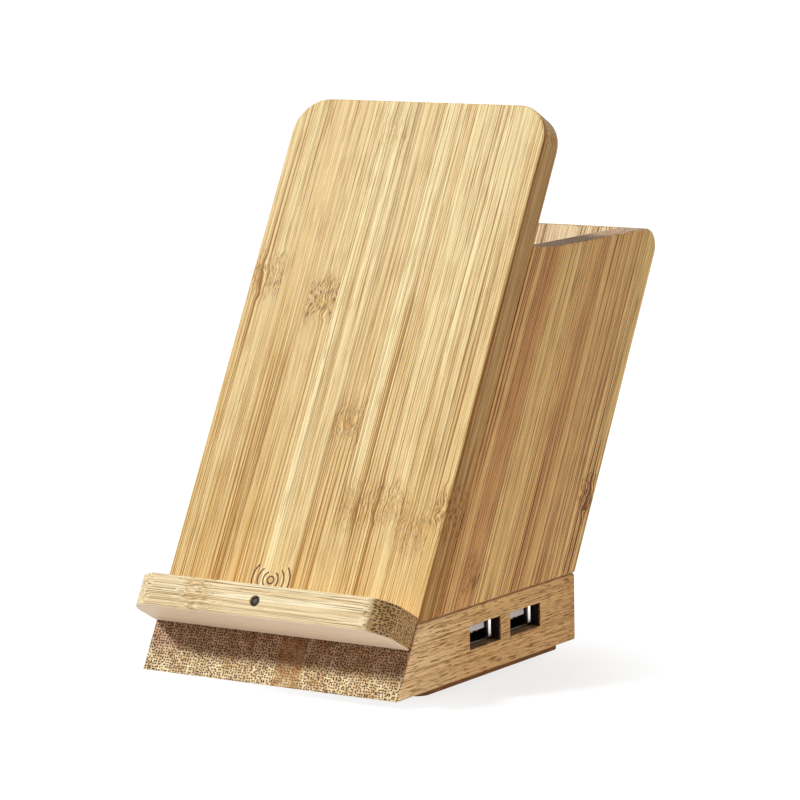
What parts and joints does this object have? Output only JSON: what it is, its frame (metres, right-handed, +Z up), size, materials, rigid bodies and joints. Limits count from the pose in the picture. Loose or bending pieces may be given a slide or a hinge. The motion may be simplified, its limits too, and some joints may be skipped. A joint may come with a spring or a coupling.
{
  "type": "wireless charger pen holder",
  "caption": "Desk accessory of glued bamboo boards: a leaning wireless phone charger with a small ledge, a hollow base with power sockets in its side, and a pen box behind the rest.",
  "frame": {"origin": "on the table, under the middle of the base block's footprint", "axes": "+Z up, -Y towards the person who faces the phone rest, +X to that person's right, which is the side with the power sockets"},
  "size_m": [0.08, 0.1384, 0.1459],
  "materials": {
    "bamboo": "satin lacquer over laminated strips",
    "bamboo_base": "satin lacquer over laminated strips",
    "pad_rubber": "matt",
    "cover_plastic": "fine grained",
    "plated_steel": "nickel plated",
    "screw_steel": "zinc plated",
    "white_insulator": "moulded",
    "gilt_contact": "gilt",
    "circuit_board": "solder mask",
    "chip_black": "moulded",
    "capacitor_brown": "dipped",
    "capacitor_can": "drawn",
    "ferrite": "sintered sheet",
    "enamelled_copper": "enamelled",
    "smoky_resin": "clear, smoky",
    "wire_sleeve": "extruded"
  },
  "bodies": {
    "root": {"base_block": "bamboo_base", "front_panel": "bamboo", "phone_ledge": "bamboo", "side_wall_left": "bamboo", "side_wall_right": "bamboo", "rear_wall": "bamboo", "coil_cover_plate": "bamboo", "bottom_cover": "cover_plastic", "anti_slip_pad": "pad_rubber", "cover_screw_1": "screw_steel", "cover_screw_2": "screw_steel", "cover_screw_3": "screw_steel", "cover_screw_4": "screw_steel", "board_screw_1": "screw_steel", "board_screw_2": "screw_steel", "board_screw_3": "screw_steel", "board_screw_4": "screw_steel", "main_board": "circuit_board", "transmitter_chip": "chip_black", "charge_chip": "chip_black", "power_inductor": "ferrite", "resonance_capacitor_1": "capacitor_brown", "resonance_capacitor_2": "capacitor_brown", "resonance_capacitor_3": "capacitor_brown", "bulk_capacitor": "capacitor_can", "usb_shell_front": "plated_steel", "usb_shell_rear": "plated_steel", "usb_tongue_front": "white_insulator", "usb_tongue_rear": "white_insulator", "usb_contact_front_1": "gilt_contact", "usb_contact_front_2": "gilt_contact", "usb_contact_front_3": "gilt_contact", "usb_contact_front_4": "gilt_contact", "usb_contact_rear_1": "gilt_contact", "usb_contact_rear_2": "gilt_contact", "usb_contact_rear_3": "gilt_contact", "usb_contact_rear_4": "gilt_contact", "inlet_shell": "plated_steel", "inlet_tongue": "white_insulator", "charging_coil": "enamelled_copper", "ferrite_sheet": "ferrite", "status_led": "smoky_resin", "led_lead_1": "wire_sleeve", "led_lead_2": "wire_sleeve"}
  },
  "joints": []
}
